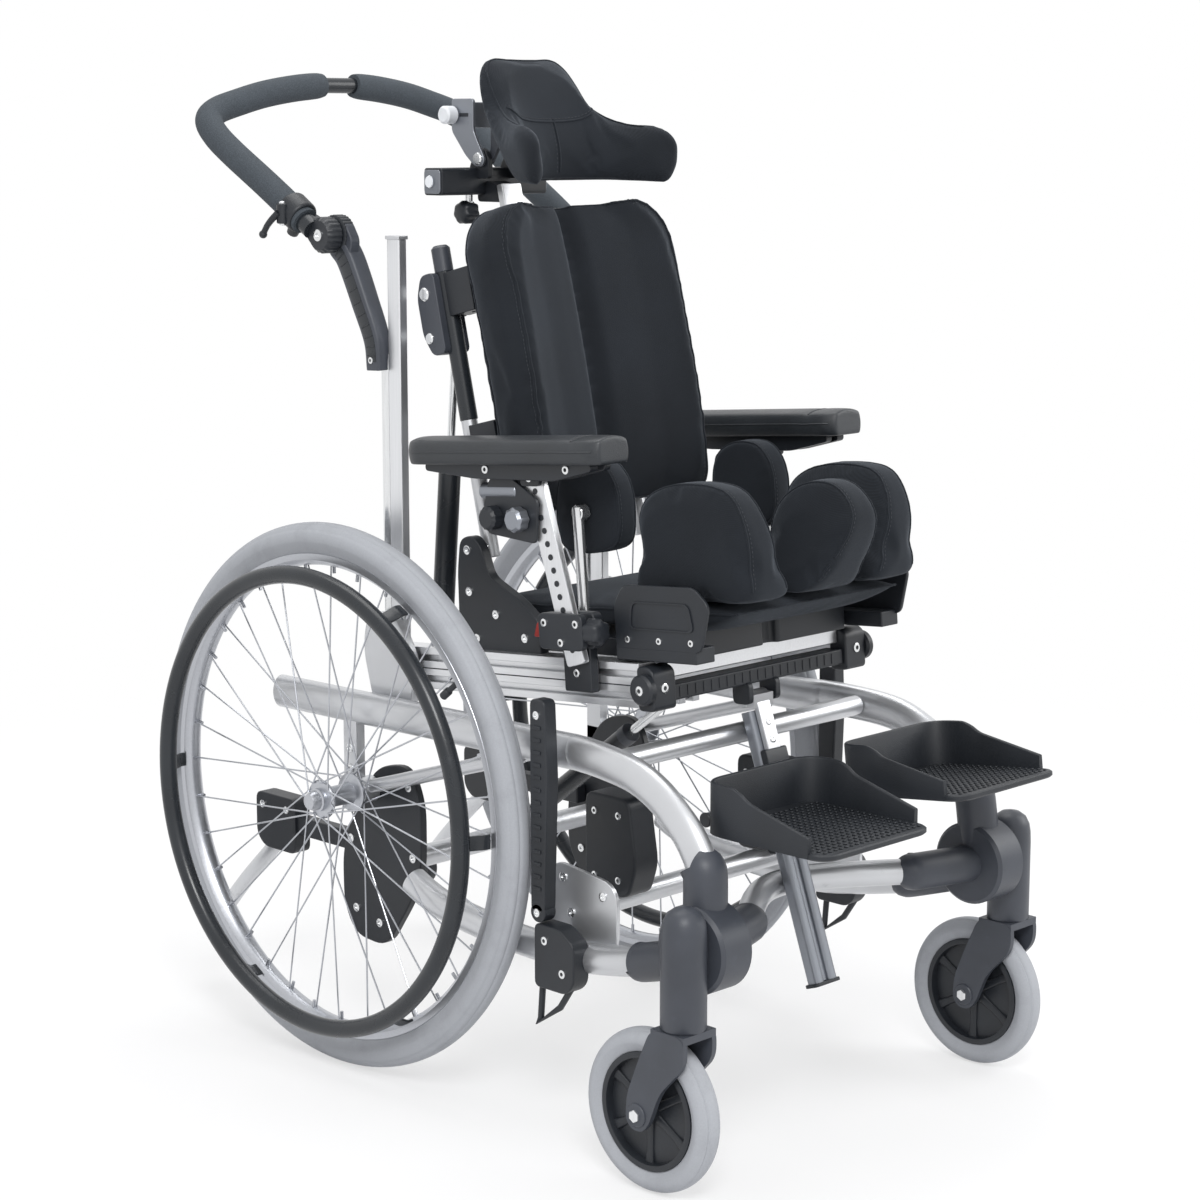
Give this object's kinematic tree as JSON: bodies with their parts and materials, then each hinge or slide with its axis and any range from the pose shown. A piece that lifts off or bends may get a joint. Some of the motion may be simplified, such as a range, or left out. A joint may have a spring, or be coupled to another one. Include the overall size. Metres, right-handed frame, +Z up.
{
  "type": "tilt in space wheelchair",
  "caption": "Tilt in space wheelchair with spoked rear wheels, swivel casters, tilting seat unit, contoured cushions, headrest, push handle and flip-up foot plates.",
  "frame": {"origin": "on the floor under the middle of the whole chair's outline", "axes": "+Z up, the sitter faces -Y, +X is the sitter's left, the mirror plane of the frame is X = 0"},
  "size_m": [0.5822, 1.003, 1.1143],
  "materials": {
    "silver_frame": "satin silver paint",
    "bright_rail": "bright anodised",
    "grey_casting": "dark grey moulded",
    "black_plastic": "fine grained black",
    "grey_tyre": "light grey rubber",
    "rim_metal": "polished",
    "coated_ring": "black coated",
    "black_fabric": "woven black cover",
    "black_vinyl": "dark vinyl",
    "handle_foam": "dark grey foam",
    "plate_plastic": "ribbed black",
    "grey_post": "dark grey anodised"
  },
  "bodies": {
    "base": {"upper_tube_l": "silver_frame", "upper_tube_r": "silver_frame", "lower_tube_l": "silver_frame", "lower_tube_r": "silver_frame", "axle_plate_l": "black_plastic", "axle_plate_r": "black_plastic", "caster_housing_l": "grey_casting", "caster_housing_r": "grey_casting", "front_cross_tube": "silver_frame", "top_cross_tube": "silver_frame", "rear_cross_tube": "silver_frame", "axle_cross_tube": "silver_frame"},
    "seat": {"seat_side_l": "bright_rail", "seat_side_r": "bright_rail", "seat_front_bar": "black_plastic", "seat_cross_frame": "silver_frame", "seat_board": "black_plastic", "seat_cushion": "black_fabric", "thigh_pad_l": "black_fabric", "thigh_pad_r": "black_fabric", "pommel": "black_fabric", "hip_pad_l": "black_fabric", "hip_pad_r": "black_fabric", "arm_clamp_l": "black_plastic", "arm_clamp_r": "black_plastic"},
    "back": {"back_frame": "silver_frame", "back_cushion": "black_fabric"},
    "head_post": {"head_mount": "black_plastic"},
    "head": {"head_rest": "black_fabric"},
    "handle_slider": {"handle_arm_l": "black_plastic", "handle_arm_r": "black_plastic"},
    "handle": {"push_handle": "handle_foam"},
    "hand_lever": {"hand_lever": "black_plastic"},
    "leg": {"leg_link": "silver_frame"},
    "foot_bar": {"foot_post": "grey_post"},
    "foot_plate_l": {"foot_plate_l": "plate_plastic"},
    "foot_plate_r": {"foot_plate_r": "plate_plastic"},
    "tilt_tube": {"tilt_spring_tube": "black_plastic"},
    "tilt_rod": {"tilt_spring_rod": "bright_rail"},
    "back_tube": {"back_spring_tube": "black_plastic"},
    "back_rod": {"back_spring_rod": "bright_rail"},
    "wheel_l": {"tyre_l": "grey_tyre", "wheel_l": "rim_metal", "push_rim_l": "coated_ring"},
    "fork_l": {"caster_fork_l": "grey_casting"},
    "caster_l": {"caster_hub_l": "black_plastic", "caster_tyre_l": "grey_tyre"},
    "brake_l": {"brake_lever_l": "black_plastic"},
    "arm_post_l": {"arm_upright_l": "bright_rail"},
    "arm_l": {"arm_pad_l": "black_vinyl"},
    "wheel_r": {"tyre_r": "grey_tyre", "wheel_r": "rim_metal", "push_rim_r": "coated_ring"},
    "fork_r": {"caster_fork_r": "grey_casting"},
    "caster_r": {"caster_hub_r": "black_plastic", "caster_tyre_r": "grey_tyre"},
    "brake_r": {"brake_lever_r": "black_plastic"},
    "arm_post_r": {"arm_upright_r": "bright_rail"},
    "arm_r": {"arm_pad_r": "black_vinyl"}
  },
  "joints": [
    {"name": "seat_tilt", "type": "hinge", "parent": "base", "child": "seat", "pos_m": [0, 0.1385, 0.43], "axis": [-1, 0, 0], "range_deg": [0, 30]},
    {"name": "back_recline", "type": "hinge", "parent": "seat", "child": "back", "pos_m": [0, 0.0385, 0.585], "axis": [-1, 0, 0], "range_deg": [-5, 25]},
    {"name": "wheel_spin_l", "type": "hinge", "parent": "base", "child": "wheel_l", "pos_m": [0.237, 0.1635, 0.305], "axis": [1, 0, 0], "continuous": true},
    {"name": "caster_swivel_l", "type": "hinge", "parent": "base", "child": "fork_l", "pos_m": [0.262, -0.3865, 0.17], "axis": [0, 0, 1], "continuous": true},
    {"name": "caster_spin_l", "type": "hinge", "parent": "fork_l", "child": "caster_l", "pos_m": [0.262, -0.3465, 0.083], "axis": [1, 0, 0], "continuous": true},
    {"name": "brake_l", "type": "hinge", "parent": "base", "child": "brake_l", "pos_m": [0.228, -0.1565, 0.238], "axis": [1, 0, 0], "range_deg": [0, 25]},
    {"name": "arm_height_l", "type": "slide", "parent": "seat", "child": "arm_post_l", "axis": [0, 0.3223, 0.9466], "range_m": [-0.035, 0.05]},
    {"name": "arm_angle_l", "type": "hinge", "parent": "arm_post_l", "child": "arm_l", "pos_m": [0.183, -0.0975, 0.6786], "axis": [-1, 0, 0], "range_deg": [-15, 30]},
    {"name": "wheel_spin_r", "type": "hinge", "parent": "base", "child": "wheel_r", "pos_m": [-0.237, 0.1635, 0.305], "axis": [1, 0, 0], "continuous": true},
    {"name": "caster_swivel_r", "type": "hinge", "parent": "base", "child": "fork_r", "pos_m": [-0.262, -0.3865, 0.17], "axis": [0, 0, 1], "continuous": true},
    {"name": "caster_spin_r", "type": "hinge", "parent": "fork_r", "child": "caster_r", "pos_m": [-0.262, -0.3465, 0.083], "axis": [1, 0, 0], "continuous": true},
    {"name": "brake_r", "type": "hinge", "parent": "base", "child": "brake_r", "pos_m": [-0.228, -0.1565, 0.238], "axis": [1, 0, 0], "range_deg": [0, 25]},
    {"name": "arm_height_r", "type": "slide", "parent": "seat", "child": "arm_post_r", "axis": [0, 0.3223, 0.9466], "range_m": [-0.035, 0.05]},
    {"name": "arm_angle_r", "type": "hinge", "parent": "arm_post_r", "child": "arm_r", "pos_m": [-0.183, -0.0975, 0.6786], "axis": [-1, 0, 0], "range_deg": [-15, 30]},
    {"name": "head_height", "type": "slide", "parent": "back", "child": "head_post", "axis": [0, 0.2334, 0.9724], "range_m": [0, 0.06]},
    {"name": "head_angle", "type": "hinge", "parent": "head_post", "child": "head", "pos_m": [0, 0.1475, 1], "axis": [-1, 0, 0], "range_deg": [-2, 18]},
    {"name": "handle_height", "type": "slide", "parent": "seat", "child": "handle_slider", "axis": [0, 0, 1], "range_m": [0, 0.1]},
    {"name": "handle_angle", "type": "hinge", "parent": "handle_slider", "child": "handle", "pos_m": [0, 0.2235, 0.918], "axis": [1, 0, 0], "range_deg": [-40, 0]},
    {"name": "hand_lever_pull", "type": "hinge", "parent": "handle", "child": "hand_lever", "pos_m": [-0.2197, 0.2675, 0.942], "axis": [1, 0, 0], "range_deg": [0, 12], "stiffness_Nm_per_rad": 0.8},
    {"name": "leg_angle", "type": "hinge", "parent": "seat", "child": "leg", "pos_m": [0, -0.2405, 0.441], "axis": [-1, 0, 0], "range_deg": [0, 50]},
    {"name": "foot_height", "type": "slide", "parent": "leg", "child": "foot_bar", "axis": [0, -0.3334, -0.9428], "range_m": [0, 0.06]},
    {"name": "foot_flip_l", "type": "hinge", "parent": "foot_bar", "child": "foot_plate_l", "pos_m": [0.097, -0.3245, 0.354], "axis": [1, 0, 0], "range_deg": [-73, 12]},
    {"name": "foot_flip_r", "type": "hinge", "parent": "foot_bar", "child": "foot_plate_r", "pos_m": [-0.097, -0.3245, 0.354], "axis": [1, 0, 0], "range_deg": [-80, 5]},
    {"name": "tilt_spring_swing", "type": "hinge", "parent": "base", "child": "tilt_tube", "pos_m": [0, 0.1015, 0.252], "axis": [-1, 0, 0], "range_deg": [-1, 22.16]},
    {"name": "tilt_spring_stroke", "type": "slide", "parent": "tilt_tube", "child": "tilt_rod", "axis": [0, -0.7967, 0.6044], "range_m": [-0.002, 0.0786]},
    {"name": "back_spring_swing", "type": "hinge", "parent": "seat", "child": "back_tube", "pos_m": [-0.09, 0.1515, 0.452], "axis": [-1, 0, 0], "range_deg": [-5, 17.84]},
    {"name": "back_spring_stroke", "type": "slide", "parent": "back_tube", "child": "back_rod", "axis": [0, -0.0826, 0.9966], "range_m": [-0.0544, 0.013]}
  ],
  "couplings": [
    {"joint": "tilt_spring_swing", "follows": "seat_tilt", "ratio": 0.6887},
    {"joint": "tilt_spring_stroke", "follows": "seat_tilt", "m_per_rad": 0.14631},
    {"joint": "back_spring_swing", "follows": "back_recline", "ratio": 0.6535},
    {"joint": "back_spring_stroke", "follows": "back_recline", "m_per_rad": -0.12014}
  ]
}
